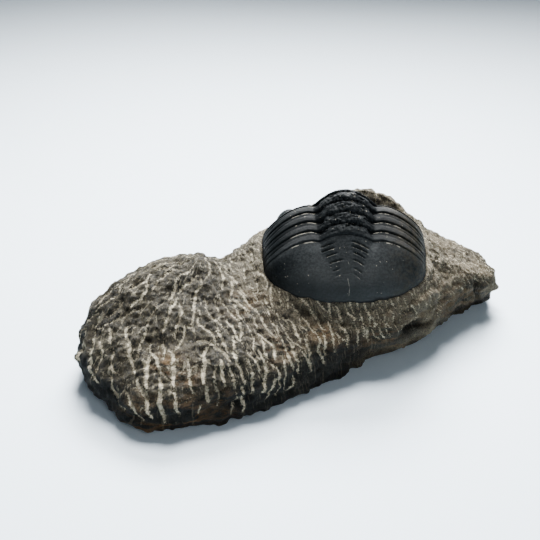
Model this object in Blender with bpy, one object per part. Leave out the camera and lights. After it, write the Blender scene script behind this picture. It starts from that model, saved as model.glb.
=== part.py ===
"""A trilobite fossil on its piece of limestone matrix.

The specimen is one dark trilobite, arched over a hump of grey-brown limestone.  The trilobite is made
of the hard plates that the animal had: a head shield (cephalon), eight thoracic segments and a tail
shield (pygidium).  The rock is one slab: a rounded lobe on the left, a wedge on the right, and a bed
that the plates lie in.

Frame: +X to the right as seen from the tail, +Y from the tail towards the head, +Z up.  The origin is
the centre of the slab's footprint box, on the plane that it rests on.  Lengths below are in
millimetres, in the fossil's own frame, whose origin is the tip of the tail at the level of the rock
around it.
"""

import math

import bmesh
import bpy
import numpy as np
from mathutils import Vector, noise

MM = 0.001

# ---- driving dimensions of the fossil, in millimetres ----
HALF_WIDTH = 25.0  # axis to the rim, at the corners of the tail and of the head
THORAX_WIDENING = 1.6  # how much farther out the rim is in the middle of the thorax
TAIL_LENGTH = 15.0  # pygidium, in plan
THORAX_LENGTH = 27.0
HEAD_LENGTH = 18.0  # cephalon, in plan
SEGMENT_COUNT = 8
THORAX_START = TAIL_LENGTH
THORAX_END = TAIL_LENGTH + THORAX_LENGTH
BODY_LENGTH = THORAX_END + HEAD_LENGTH
SEGMENT_LENGTH = THORAX_LENGTH / SEGMENT_COUNT
JOINT_GAP = 0.36  # between neighbouring plates, so that the solids never touch
RIM_SKIRT = 1.2  # how deep each plate's rim goes into the bed
WIDENING_FROM = 9.0  # where the body begins to widen, from the tail tip
WIDENING_TO = 46.0
BED_GAP = 0.35  # between the plates and the rock

# The line of the back beside the axial lobe: (distance from the tail tip, height above it).
BACK_LINE = (
    (0.0, 0.0), (0.8, 3.2), (3.2, 6.6), (8.0, 10.2), (15.0, 13.5), (20.0, 16.0), (24.5, 18.2), (27.5, 19.1),
    (30.0, 18.4), (34.0, 15.8), (42.0, 10.4), (48.0, 7.2), (54.0, 3.6), (58.4, 0.2), (60.0, -3.4),
)
# Height of the plates' rim above the tail tip: (distance from the tail tip, height).
RIM_CREST = 28.5
RIM_LINE = ((0.0, 0.0), (15.0, 2.0), (RIM_CREST, 5.2), (42.0, 1.4), (60.0, -3.4))
# The axial lobe: (distance from the tail tip, half width, height above the back).
AXIS_LOBE = (
    (0.0, 3.0, 0.0), (4.0, 4.8, 0.3), (8.0, 6.0, 0.9), (12.0, 7.0, 1.6), (15.0, 7.8, 2.4), (26.0, 9.3, 4.4),
    (31.0, 9.6, 5.4), (42.0, 9.6, 5.2), (45.0, 9.0, 5.0), (52.0, 10.6, 5.0), (57.0, 11.0, 2.4),
    (60.0, 9.0, 0.0),
)
# The arch across the body, as (share that is level on each side of the axis, how late it bends down,
# how steeply it ends).  With no level share, two equal numbers make an ellipse at 2 and a squarer arch
# above it.
TAIL_ARCH = (0.0, 2.2, 2.2)
THORAX_ARCH = (0.3, 2.6, 1.75)
HEAD_FRONT_ARCH = (0.0, 2.3, 2.3)
THORAX_ARCH_FROM = 6.0  # where the tail's arch begins to change into the thorax's
PLEURAL_SWEEP = 6.0  # how far the flanks lean back towards the tail
SWEEP_FROM = 0.4  # the share of the half width where the sweep begins
LOBE_FULLNESS = 0.95  # of the axial lobe: 1 is a parabola, less is squarer
FURROW_DEPTH = 0.5  # of the furrow beside the axial lobe
FURROW_WIDTH = 1.1
SEGMENT_STEP = 0.75  # how far the rear edge of a segment stands above its front edge
EYE_POSITION = (18.8, 46.0)  # from the axis, and from the tail tip
EYE_RADIUS = 3.2
EYE_HEIGHT = 2.6

# ---- driving dimensions of the rock, in millimetres ----
FLOOR_DEPTH = 21.5  # the resting plane, below the tail tip
ROCK_CENTRE = (-8.0, 18.0)
# The slab's outline at its widest level, anticlockwise from the wedge at its right end.
ROCK_OUTLINE = (
    (52.0, 34.0), (47.5, 43.0), (38.0, 52.0), (29.0, 60.5), (21.0, 69.0), (9.0, 73.0), (-6.0, 70.0),
    (-18.0, 61.0), (-28.0, 50.0), (-34.0, 40.0), (-41.0, 32.5), (-52.0, 29.5), (-64.0, 24.0), (-74.0, 14.5),
    (-81.0, 4.0), (-83.0, -7.0), (-79.0, -18.0), (-71.0, -28.0), (-62.0, -36.0), (-50.0, -36.5),
    (-39.0, -33.0), (-27.0, -27.5), (-16.0, -20.5), (-5.0, -12.5), (5.0, -6.5), (15.0, -3.5), (24.0, 1.0),
    (31.5, 9.5), (37.0, 17.5), (44.5, 23.0), (50.5, 27.5),
)
# The slab's edge on the near side of the lobe, and everywhere else: its squareness and the height of
# its widest part.
LOBE_EDGE = (2.8, -17.0)
WEDGE_EDGE = (4.2, -14.0)
EDGE_CHANGE_X = (-26.0, 4.0)  # from where to where the one turns into the other, to the right
EDGE_CHANGE_Y = (-12.0, 8.0)  # and away from the near side
EDGE_ASPECT = 0.3  # half thickness over half width
# Heights of the slab's top: (x, y, height).
TOP_HEIGHTS = (
    (-46.0, 18.0, 9.5), (-58.0, 10.0, 9.0), (-70.0, 6.0, 9.0), (-56.0, -4.0, 5.5), (-73.0, -10.0, 4.0),
    (-40.0, -4.0, 1.5), (-58.0, -20.0, -1.0), (-46.0, -24.0, -3.5), (-64.0, -31.0, -5.0), (-30.0, -14.0, -3.5),
    (-37.0, 24.0, -4.0), (-31.0, 32.0, 8.0), (-30.0, 20.0, 2.5), (-28.0, 46.0, 2.0), (-26.0, 5.0, -1.0),
    (-16.0, -8.0, -3.5), (0.0, -4.0, -3.5), (16.0, 0.0, -3.0), (29.0, 12.0, -1.5), (33.0, 26.0, 2.5),
    (45.0, 31.0, -3.0), (36.0, 46.0, -1.0), (27.0, 56.0, 5.0), (18.0, 64.0, 10.5), (8.0, 68.0, 12.0),
    (-9.0, 64.0, 1.5), (0.0, 40.0, 0.0),
)
TOP_BLEND = 7.0  # how far each of those heights carries
UNDERCUT = 7.5  # of the near side of the wedge, at the resting plane
UNDERCUT_CENTRE = 28.0
UNDERCUT_REACH = 28.0
UNDERCUT_TURN = 8.0  # the x from which the near side runs away to the right
BASE_ROUNDING = 5.0  # how far the underside bulges below the resting plane before it is cut flat
COLLAR_WIDTH = 6.0  # of the rock that rises to meet the plates' rims
COLLAR_PROUD = 0.3
LUMP_SIZE = 17.0
LUMP_HEIGHT = 1.6
WEAR_PASSES = 2
WEAR_ALLOWANCE = 0.9  # how much the wear takes off the slab's outline

CUTTER_TOP = 40.0
ACROSS = 24  # steps across the arch of a plate
SHARP_ANGLE = math.radians(38.0)
DARK_CALCITE = ((0.030, 0.034, 0.038, 1.0), 0.42)
LIMESTONE = ((0.155, 0.135, 0.108, 1.0), 0.9)


def smooth(low, high, value):
    """0 below low, 1 above high, and a smooth rise between them."""
    share = np.clip((value - low) / (high - low), 0.0, 1.0)
    return share * share * (3.0 - 2.0 * share)


def curve_through(points, count=400):
    """A smooth curve through the points, resampled at equal steps of its length."""
    rows = np.array(points, float)
    ends = np.vstack([2 * rows[0] - rows[1], rows, 2 * rows[-1] - rows[-2]])
    pieces = []
    for a, b, c, d in zip(ends, ends[1:], ends[2:], ends[3:]):
        t = np.linspace(0.0, 1.0, 40, endpoint=False)[:, None]
        pieces.append(
            0.5 * (2 * b + (c - a) * t + (2 * a - 5 * b + 4 * c - d) * t**2 + (3 * b - a - 3 * c + d) * t**3)
        )
    return evenly(np.vstack([*pieces, rows[-1:]]), count)


def evenly(points, count):
    """The polyline's points again, at equal steps of its length."""
    steps = np.linalg.norm(np.diff(points, axis=0), axis=1)
    along = np.concatenate([[0.0], np.cumsum(steps)])
    wanted = np.linspace(0.0, along[-1], count)
    return np.column_stack([np.interp(wanted, along, points[:, k]) for k in range(points.shape[1])])


BACK = curve_through(BACK_LINE)
AXIS = np.array(AXIS_LOBE)
RIM = np.array(RIM_LINE)


def rim_height(y):
    return np.interp(y, RIM[:, 0], RIM[:, 1])


def widest(y):
    """The half width of the body's outline at y, before its ends are rounded."""
    share = np.clip((y - WIDENING_FROM) / (WIDENING_TO - WIDENING_FROM), 0.0, 1.0)
    return HALF_WIDTH + THORAX_WIDENING * np.sin(math.pi * share)


def rim_point(y_back):
    """Where the arch whose top is at y_back meets the rock: (half width, y)."""
    turn = math.radians(90.0)
    rim_y = y_back
    if y_back < THORAX_START:
        turn *= (y_back / TAIL_LENGTH) ** 0.62
        rim_y = TAIL_LENGTH * (1.0 - math.cos(turn))
    elif y_back > THORAX_END:
        turn *= ((BODY_LENGTH - y_back) / HEAD_LENGTH) ** 0.62
        rim_y = BODY_LENGTH - HEAD_LENGTH * (1.0 - math.cos(turn))
    return float(widest(rim_y)) * math.sin(turn), rim_y


def arch_shape(y_back):
    """The three numbers of the arch here, as in TAIL_ARCH."""
    to_thorax = smooth(THORAX_ARCH_FROM, THORAX_START, y_back)
    to_front = smooth(THORAX_END, BODY_LENGTH, y_back)
    rear = (1.0 - to_thorax) * np.array(TAIL_ARCH) + to_thorax * np.array(THORAX_ARCH)
    return (1.0 - to_front) * rear + to_front * np.array(HEAD_FRONT_ARCH)


def segment_step(y_back):
    """The saw-tooth of the overlapping segments: high at each rear edge, low at each front edge."""
    if not THORAX_START < y_back < THORAX_END:
        return 0.0
    through = ((y_back - THORAX_START) / SEGMENT_LENGTH) % 1.0
    return SEGMENT_STEP * (1.0 - through) ** 1.5


def eye_bump(x, y):
    reach = np.hypot((np.abs(x) - EYE_POSITION[0]) / EYE_RADIUS, (y - EYE_POSITION[1]) / (1.25 * EYE_RADIUS))
    return EYE_HEIGHT * np.sqrt(np.clip(1.0 - reach**2, 0.0, 1.0))


def arch(y_back):
    """The cross-section of the body whose top is y_back from the tail tip, from left rim to right rim."""
    back_height = float(np.interp(y_back, BACK[:, 0], BACK[:, 1]))
    half_width, rim_y = rim_point(y_back)
    rim_z = float(rim_height(rim_y))
    top = np.array([y_back, back_height])
    down = np.array([rim_y, rim_z]) - top
    depth = np.linalg.norm(down)
    level, bend, steepness = arch_shape(y_back)
    out = np.sin(np.linspace(0.0, math.pi / 2, 200))
    bent = np.clip((out - level) / (1.0 - level), 0.0, 1.0)
    half = np.column_stack([half_width * out, depth * (1.0 - (1.0 - bent**bend) ** (1.0 / steepness))])
    half = evenly(half, ACROSS // 2 + 1)
    x = np.concatenate([-half[::-1, 0], half[1:, 0]])
    fall = np.concatenate([half[::-1, 1], half[1:, 1]])
    lobe_half, lobe_height = (float(np.interp(y_back, AXIS[:, 0], AXIS[:, k])) for k in (1, 2))
    lobe_half = min(lobe_half, 0.6 * half_width)
    inside = np.clip(1.0 - (x / lobe_half) ** 2, 0.0, 1.0)
    rise = lobe_height * inside**LOBE_FULLNESS
    furrow = FURROW_DEPTH * min(1.0, lobe_height) * np.exp(-(((np.abs(x) - lobe_half) / FURROW_WIDTH) ** 2))
    rim_share = np.clip(fall / max(depth, 1e-6), 0.0, 1.0)
    step = segment_step(y_back) * (1.0 - 0.6 * rim_share)
    y_plain = top[0] + down[0] * rim_share
    rise = rise - furrow + step + eye_bump(x, y_plain)
    share = (fall - rise) / max(depth, 1e-6)
    sweep_share = smooth(0.4 * THORAX_START, THORAX_START, y_back)
    sweep_share *= 1.0 - smooth(THORAX_END, 0.5 * (THORAX_END + BODY_LENGTH), y_back)
    out = np.abs(x) / half_width
    swept = np.clip((out - SWEEP_FROM) / (1.0 - SWEEP_FROM), 0.0, 1.0) ** 1.6
    sweep = PLEURAL_SWEEP * sweep_share * swept * (1.0 - out**8)
    return np.column_stack([x, top[0] + down[0] * share - sweep, top[1] + down[1] * share])


def plate_object(name, stations):
    """A closed solid between the arches at these distances from the tail tip and the bed below them.

    Its own origin is on the axis at its rear edge.
    """
    rear = np.array([0.0, stations[0], 0.0])
    top = np.array([arch(y) for y in stations])
    base = top.copy()
    base[:, :, 2] = rim_height(base[:, :, 1]) - RIM_SKIRT
    top -= rear
    base -= rear
    rows, columns = top.shape[:2]
    bm = bmesh.new()
    upper = [[bm.verts.new(Vector(p) * MM) for p in row] for row in top]
    lower = [[bm.verts.new(Vector(p) * MM) for p in row] for row in base]
    for row in range(rows - 1):
        for column in range(columns - 1):
            for grid in (upper, lower):
                near, far = grid[row], grid[row + 1]
                bm.faces.new((near[column], near[column + 1], far[column + 1], far[column]))
    upper_edge = border(upper)
    lower_edge = border(lower)
    for i, j in zip(range(len(upper_edge)), [*range(1, len(upper_edge)), 0]):
        bm.faces.new((upper_edge[i], upper_edge[j], lower_edge[j], lower_edge[i]))
    bmesh.ops.recalc_face_normals(bm, faces=bm.faces)
    mesh = bpy.data.meshes.new(name)
    bm.to_mesh(mesh)
    bm.free()
    mesh.materials.append(plain_material(f"dark_calcite_{name}", *DARK_CALCITE))
    mesh.shade_smooth()
    mesh.set_sharp_from_angle(angle=SHARP_ANGLE)
    plate = bpy.data.objects.new(name, mesh)
    plate.location = rear * MM
    collection_named("trilobite_fossil").objects.link(plate)
    return plate


def border(grid):
    """The grid's outer points, in order."""
    right = [row[-1] for row in grid[1:-1]]
    left = [row[0] for row in grid[1:-1]]
    return [*grid[0], *right, *grid[-1][::-1], *left[::-1]]


def collection_named(name):
    found = bpy.data.collections.get(name)
    if found is None:
        found = bpy.data.collections.new(name)
        bpy.context.scene.collection.children.link(found)
    return found


def plain_material(name, colour, roughness):
    material = bpy.data.materials.new(name)
    material.use_nodes = True
    shader = material.node_tree.nodes["Principled BSDF"]
    shader.inputs["Base Color"].default_value = colour
    shader.inputs["Roughness"].default_value = roughness
    shader.inputs["Metallic"].default_value = 0.0
    return material


def build_plates():
    """The tail shield, the segments from tail to head, and the head shield."""
    half_gap = JOINT_GAP / 2
    tail = np.concatenate([[0.12, 0.5, 1.2, 2.2, 3.5], np.linspace(5.0, THORAX_START - half_gap, 8)])
    plates = [plate_object("pygidium", tail)]
    for index in range(SEGMENT_COUNT):
        rear = THORAX_START + index * SEGMENT_LENGTH + half_gap
        stations = np.linspace(rear, rear + SEGMENT_LENGTH - JOINT_GAP, 4)
        number = SEGMENT_COUNT - index
        plates.append(plate_object(f"thoracic_segment_{number}", stations))
    head_rear = np.linspace(THORAX_END + half_gap, BODY_LENGTH - 4.0, 14)
    head_front = BODY_LENGTH - np.array([2.6, 1.4, 0.6, 0.14])
    head = np.concatenate([head_rear, head_front])
    plates.append(plate_object("cephalon", head))
    return plates


def footprint(margin, steps=20):
    """The plates' outline in plan, grown by margin, anticlockwise from the tail tip."""
    turn = np.linspace(-math.pi / 2, 0.0, steps)
    y = TAIL_LENGTH + (TAIL_LENGTH + margin) * np.sin(turn)
    tail = np.column_stack([(widest(y) + margin) * np.cos(turn), y])
    y = np.linspace(THORAX_START, THORAX_END, SEGMENT_COUNT + 1)[1:-1]
    sides = np.column_stack([widest(y) + margin, y])
    turn = np.linspace(0.0, math.pi / 2, steps)
    y = THORAX_END + (HEAD_LENGTH + margin) * np.sin(turn)
    head = np.column_stack([(widest(y) + margin) * np.cos(turn), y])
    right = np.vstack([tail, sides, head])
    left = right[-2:0:-1] * [-1.0, 1.0]
    return np.vstack([right, left])


def outline_radius(bearing):
    """The slab's radius in plan at these bearings from its centre, in radians."""
    corners = np.vstack([ROCK_OUTLINE, ROCK_OUTLINE[:3]])
    curve = curve_through(corners, 1500) - ROCK_CENTRE
    around = np.arctan2(curve[:, 1], curve[:, 0])
    order = np.argsort(around)
    radii = np.hypot(curve[:, 0], curve[:, 1])
    return np.interp(bearing, around[order], radii[order], period=2 * math.pi)


def off_footprint(x, y):
    """About how far a point lies outside the plates' outline, negative inside it."""
    near_tail = np.maximum(THORAX_START - y, 0.0) / TAIL_LENGTH
    near_head = np.maximum(y - THORAX_END, 0.0) / HEAD_LENGTH
    size = np.sqrt((x / widest(y)) ** 2 + near_tail**2 + near_head**2)
    return (size - 1.0) * HALF_WIDTH * 0.8


def top_height(x, y):
    """The slab's top before its edges are rounded: a smooth blend of the heights given across it."""
    total = np.zeros_like(x)
    weights = np.full_like(x, 1e-9)
    for point_x, point_y, height in TOP_HEIGHTS:
        weight = np.exp(-(((x - point_x) / TOP_BLEND) ** 2 + ((y - point_y) / TOP_BLEND) ** 2) ** 0.5)
        total += weight * height
        weights += weight
    return total / weights


def lumps(points):
    """Uneven lumps of the weathered surface."""
    found = []
    for p in points:
        broad = noise.noise(Vector(p) / LUMP_SIZE)
        small = noise.noise(Vector(p) / (0.45 * LUMP_SIZE) + Vector((7, 3, 1)))
        found.append(broad + 0.45 * small)
    return LUMP_HEIGHT * np.array(found)


def undercut(points):
    """How far the near side below the tail and the wedge is set back."""
    start = WEDGE_EDGE[1] + 3.0
    below = smooth(0.0, 1.0, (start - points[:, 2]) / (FLOOR_DEPTH + start))
    beside = np.exp(-(((points[:, 0] - UNDERCUT_CENTRE) / UNDERCUT_REACH) ** 4))
    behind = points[:, 1] - 0.7 * np.maximum(points[:, 0] - UNDERCUT_TURN, 0.0)
    near_side = 1.0 - smooth(0.0, THORAX_START + 5.0, behind)
    return UNDERCUT * below * beside * near_side


def edge_profile(level, squareness):
    """The slab's edge in section, from the side (level 0) to the middle of the top (level 1).

    Gives the distance from the slab's centre and the height above its widest part, both as shares.
    """
    turn = np.linspace(0.0, math.pi / 2, 2000)
    power = 2.0 / squareness
    profile = np.column_stack([np.cos(turn) ** power, EDGE_ASPECT * np.sin(turn) ** power])
    profile = evenly(profile, 400)
    share = np.arcsin(level) / (math.pi / 2)
    steps = np.linspace(0.0, 1.0, len(profile))
    return np.interp(share, steps, profile[:, 0]), np.interp(share, steps, profile[:, 1]) / EDGE_ASPECT


def rock_points(unit):
    """Carries the points of a unit sphere onto the slab."""
    bearing = np.arctan2(unit[:, 1], unit[:, 0])
    radius = outline_radius(bearing) + WEAR_ALLOWANCE
    to_right = smooth(*EDGE_CHANGE_X, ROCK_CENTRE[0] + radius * np.cos(bearing))
    to_far = smooth(*EDGE_CHANGE_Y, ROCK_CENTRE[1] + radius * np.sin(bearing))
    change = np.maximum(to_right, to_far)
    lobe = edge_profile(np.abs(unit[:, 2]), LOBE_EDGE[0])
    wedge = edge_profile(np.abs(unit[:, 2]), WEDGE_EDGE[0])
    reach, crown = ((1.0 - change) * a + change * b for a, b in zip(lobe, wedge))
    level = (1.0 - change) * LOBE_EDGE[1] + change * WEDGE_EDGE[1]
    x = ROCK_CENTRE[0] + radius * reach * np.cos(bearing)
    y = ROCK_CENTRE[1] + radius * reach * np.sin(bearing)
    floor = -FLOOR_DEPTH - BASE_ROUNDING
    z = level + np.where(unit[:, 2] > 0, top_height(x, y) - level, floor - level) * crown
    points = np.column_stack([x, y, z])
    outward = unit * [1.0, 1.0, 2.0]
    outward /= np.linalg.norm(outward, axis=1)[:, None]
    points += outward * lumps(points)[:, None]
    points[:, 1] += undercut(points)
    outside = off_footprint(points[:, 0], points[:, 1])
    near = (1.0 - smooth(0.0, COLLAR_WIDTH, outside)) * smooth(0.1, 0.35, unit[:, 2])
    collar = rim_height(points[:, 1]) + COLLAR_PROUD
    points[:, 2] += near * (collar - points[:, 2])
    return points


def build_rock():
    bpy.ops.mesh.primitive_ico_sphere_add(subdivisions=5, radius=1.0)
    rock = bpy.context.object
    rock.name = "matrix_rock"
    rock.data.name = "matrix_rock"
    for owner in list(rock.users_collection):
        owner.objects.unlink(rock)
    collection_named("trilobite_fossil").objects.link(rock)
    unit = np.array([v.co.normalized() for v in rock.data.vertices])
    points = rock_points(unit) * MM
    rock.data.vertices.foreach_set("co", points.astype(np.float32).ravel())
    rock.data.update()
    rock.data.materials.append(plain_material("limestone", *LIMESTONE))
    rock.data.shade_smooth()
    wear_and_flatten(rock)
    cut = rock.modifiers.new("bed", "BOOLEAN")
    cut.operation = "DIFFERENCE"
    cut.solver = "EXACT"
    cut.object = bed_cutter(rock)
    return rock


def wear_and_flatten(rock):
    """Wears the surface smooth, then cuts the underside flat at the resting plane."""
    bm = bmesh.new()
    bm.from_mesh(rock.data)
    for _ in range(WEAR_PASSES):
        bmesh.ops.smooth_vert(
            bm, verts=bm.verts, factor=0.5, use_axis_x=True, use_axis_y=True, use_axis_z=True
        )
    made = bmesh.ops.bisect_plane(
        bm,
        geom=[*bm.verts, *bm.edges, *bm.faces],
        plane_co=(0.0, 0.0, -FLOOR_DEPTH * MM),
        plane_no=(0.0, 0.0, -1.0),
        clear_outer=True,
    )
    rim = [e for e in made["geom_cut"] if isinstance(e, bmesh.types.BMEdge)]
    bmesh.ops.contextual_create(bm, geom=rim)
    bm.to_mesh(rock.data)
    bm.free()


def bed_cutter(rock):
    """The room that the plates take, with a gap all round, from just below their skirts upwards."""
    outline = footprint(BED_GAP)
    bm = bmesh.new()
    low = [bm.verts.new(Vector((x, y, rim_height(y) - RIM_SKIRT - BED_GAP)) * MM) for x, y in outline]
    high = [bm.verts.new(Vector((x, y, CUTTER_TOP)) * MM) for x, y in outline]
    count = len(low)
    for i in range(count):
        j = (i + 1) % count
        bm.faces.new((low[i], low[j], high[j], high[i]))
    bm.faces.new(high)
    # The floor is one strip of faces across the body for each step along it: it follows the rim line.
    half = count // 2
    for i in range(half):
        left, left_next = low[(count - i) % count], low[(count - i - 1) % count]
        corners = [low[i], low[i + 1], left_next, left]
        corners = [v for k, v in enumerate(corners) if v not in corners[:k]]
        bm.faces.new(corners[::-1])
    bmesh.ops.recalc_face_normals(bm, faces=bm.faces)
    mesh = bpy.data.meshes.new("bed_cutter")
    bm.to_mesh(mesh)
    bm.free()
    cutter = bpy.data.objects.new("bed_cutter", mesh)
    cutter.hide_render = True
    cutter.display_type = "WIRE"
    cutter.parent = rock
    collection_named("cutters").objects.link(cutter)
    return cutter


def stand_at_origin(rock):
    """Puts the centre of the slab's footprint box, on its resting plane, at the origin."""
    corners = np.array([v.co for v in rock.data.vertices])
    low, high = corners.min(axis=0), corners.max(axis=0)
    rock.location = (-(low[0] + high[0]) / 2, -(low[1] + high[1]) / 2, -low[2])


def main():
    for obj in list(bpy.data.objects):
        bpy.data.objects.remove(obj, do_unlink=True)
    rock = build_rock()
    for plate in build_plates():
        plate.parent = rock
    stand_at_origin(rock)


main()
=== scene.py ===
"""The looks of the trilobite fossil: fine surfaces of the plates and the rock, materials and studio.

Lengths are millimetres in the fossil's own frame, whose origin is the tip of the tail at the level of
the rock around it, with +Y towards the head.  Finished pieces are moved into the row frame, in metres.
"""

import math

import bmesh
import bpy
import numpy as np
from mathutils import Matrix, Vector, kdtree, noise


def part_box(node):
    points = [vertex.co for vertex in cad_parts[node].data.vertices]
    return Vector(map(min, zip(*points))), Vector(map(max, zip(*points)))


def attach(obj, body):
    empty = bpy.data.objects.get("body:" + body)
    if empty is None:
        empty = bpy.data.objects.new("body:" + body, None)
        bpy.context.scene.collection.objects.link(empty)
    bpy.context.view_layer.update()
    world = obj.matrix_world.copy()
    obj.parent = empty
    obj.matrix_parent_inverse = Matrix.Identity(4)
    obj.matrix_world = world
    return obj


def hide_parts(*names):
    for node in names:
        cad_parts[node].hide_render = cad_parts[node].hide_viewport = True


MM = 0.001
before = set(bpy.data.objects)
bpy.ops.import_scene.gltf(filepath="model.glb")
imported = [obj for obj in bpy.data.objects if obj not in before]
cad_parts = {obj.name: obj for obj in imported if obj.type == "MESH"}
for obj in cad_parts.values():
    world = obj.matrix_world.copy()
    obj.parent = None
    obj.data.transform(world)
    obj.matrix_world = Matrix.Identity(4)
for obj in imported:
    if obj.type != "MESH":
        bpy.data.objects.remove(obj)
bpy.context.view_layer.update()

# ---- the shape of the animal: the solids' own, with a slightly fuller axial lobe ----
HALF_WIDTH = 25.0
THORAX_WIDENING = 1.6
WIDENING_FROM = 9.0
WIDENING_TO = 46.0
TAIL_LENGTH = 15.0
THORAX_LENGTH = 27.0
HEAD_LENGTH = 18.0
SEGMENT_COUNT = 8
THORAX_START = TAIL_LENGTH
THORAX_END = TAIL_LENGTH + THORAX_LENGTH
BODY_LENGTH = THORAX_END + HEAD_LENGTH
SEGMENT_LENGTH = THORAX_LENGTH / SEGMENT_COUNT
SEAM = 0.2  # the open line between neighbouring plates
RIM_SKIRT = 1.2
BED_DEPTH = 1.6
BACK_LINE = (
    (0.0, 0.0), (0.8, 3.2), (3.2, 6.6), (8.0, 10.2), (15.0, 13.5), (20.0, 16.0), (24.5, 18.2),
    (27.5, 19.1), (30.0, 18.4), (34.0, 15.8), (42.0, 10.4), (48.0, 7.2), (54.0, 3.6), (58.4, 0.2),
    (60.0, -3.4),
)
RIM_CREST = 28.5
RIM_LINE = ((0.0, 0.0), (15.0, 2.0), (RIM_CREST, 5.2), (42.0, 1.4), (60.0, -3.4))
AXIS_LOBE = (
    (0.0, 3.0, 0.0), (4.0, 4.8, 0.3), (8.0, 6.0, 0.9), (12.0, 7.0, 1.6), (15.0, 7.8, 2.4),
    (26.0, 9.3, 4.4), (31.0, 9.6, 5.4), (42.0, 9.6, 5.2), (45.0, 9.0, 5.0), (52.0, 10.6, 5.0),
    (57.0, 11.0, 2.4), (60.0, 9.0, 0.0),
)
TAIL_ARCH = (0.0, 2.2, 2.2)  # level share, how late it bends down, how steeply it ends
THORAX_ARCH = (0.3, 2.6, 1.75)
HEAD_FRONT_ARCH = (0.0, 2.3, 2.3)
THORAX_ARCH_FROM = 6.0
PLEURAL_SWEEP = 6.0
SWEEP_FROM = 0.4
LOBE_SPREAD = 1.1  # how far the axial lobe runs out, against its half width
LOBE_FULLNESS = 1.22
FURROW_DEPTH = 0.35
FURROW_WIDTH = 1.5
SEGMENT_STEP = 0.42
EYE_POSITION = (18.8, 46.0)
EYE_RADIUS = 3.2
EYE_HEIGHT = 2.6
# The ring furrows of the tail's axis: distance from the tail tip, inner and outer ends on the left and
# on the right, and depth.
RING_FURROWS = (
    (13.2, 4.3, 8.0, 1.9, 6.6, 0.50), (11.7, 4.3, 7.9, 2.0, 6.3, 0.50), (9.95, 3.6, 6.7, 2.1, 5.4, 0.45),
    (7.9, 1.8, 5.6, 2.0, 4.9, 0.42), (5.7, 2.6, 4.6, 1.9, 4.5, 0.26), (4.3, 2.6, 4.2, 1.9, 4.0, 0.18),
)
COLUMNS = 420

# ---- the shape of the rock: the solids' own, with a slightly higher crest behind the arch ----
FLOOR_DEPTH = 21.5
ROCK_CENTRE = (-8.0, 18.0)
ROCK_OUTLINE = (
    (52.0, 34.0), (47.5, 43.0), (38.0, 52.0), (29.0, 60.5), (21.0, 69.0), (9.0, 73.0), (-6.0, 70.0),
    (-18.0, 61.0), (-28.0, 50.0), (-34.0, 40.0), (-41.0, 32.5), (-52.0, 29.5), (-64.0, 24.0),
    (-74.0, 14.5), (-81.0, 4.0), (-83.0, -7.0), (-79.0, -18.0), (-71.0, -28.0), (-62.0, -36.0),
    (-50.0, -36.5), (-39.0, -33.0), (-27.0, -27.5), (-16.0, -20.5), (-5.0, -12.5), (5.0, -6.5),
    (15.0, -3.5), (24.0, 1.0), (31.5, 9.5), (37.0, 17.5), (44.5, 23.0), (50.5, 27.5),
)
LOBE_EDGE = (2.8, -17.0)  # squareness of the slab's edge, and the height of its widest part, on the left
WEDGE_EDGE = (4.2, -14.0)  # the same on the right
EDGE_CHANGE_X = (-26.0, 4.0)  # from where to where the one turns into the other, to the right
EDGE_CHANGE_Y = (-12.0, 8.0)  # and away from the near side
TOP_HEIGHTS = (
    (-46.0, 18.0, 9.5), (-58.0, 10.0, 9.0), (-70.0, 6.0, 9.0), (-56.0, -4.0, 5.5), (-73.0, -10.0, 4.0),
    (-40.0, -4.0, 1.5), (-58.0, -20.0, -1.0), (-46.0, -24.0, -3.5), (-64.0, -31.0, -5.0),
    (-30.0, -14.0, -3.5), (-37.0, 24.0, -4.0), (-31.0, 32.0, 8.0), (-30.0, 20.0, 2.5),
    (-28.0, 46.0, 2.0), (-26.0, 5.0, -1.0),
    (-16.0, -8.0, -3.5), (0.0, -4.0, -3.5), (16.0, 0.0, -3.0), (29.0, 12.0, -1.5), (33.0, 26.0, 2.5),
    (45.0, 31.0, -3.0), (36.0, 46.0, -1.0), (27.0, 56.0, 5.0), (18.0, 64.0, 11.0), (6.0, 68.0, 13.4),
    (-8.0, 65.0, 4.5), (0.0, 40.0, 0.0),
)
TOP_BLEND = 7.0
UNDERCUT = 7.5
UNDERCUT_CENTRE = 28.0
UNDERCUT_REACH = 28.0
UNDERCUT_TURN = 8.0
BASE_ROUNDING = 5.0
COLLAR_WIDTH = 6.0
COLLAR_PROUD = 0.3
COLLAR_UNEVEN = 0.8
LUMP_SIZE = 17.0
LUMP_HEIGHT = 1.3
BEARINGS = 900
ROCK_ROWS = 165

# Where the fossil's own origin lies in the row frame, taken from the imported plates.
pygidium_low, pygidium_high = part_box("pygidium")
FOSSIL_ORIGIN = Vector(((pygidium_low.x + pygidium_high.x) / 2, pygidium_low.y, FLOOR_DEPTH * MM))


def smooth(low, high, value):
    share = np.clip((value - low) / (high - low), 0.0, 1.0)
    return share * share * (3.0 - 2.0 * share)


def bell(value, width):
    return np.exp(-((value / width) ** 2))


def evenly(points, count):
    steps = np.linalg.norm(np.diff(points, axis=0), axis=1)
    along = np.concatenate([[0.0], np.cumsum(steps)])
    wanted = np.linspace(0.0, along[-1], count)
    return np.column_stack([np.interp(wanted, along, points[:, k]) for k in range(points.shape[1])])


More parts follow.
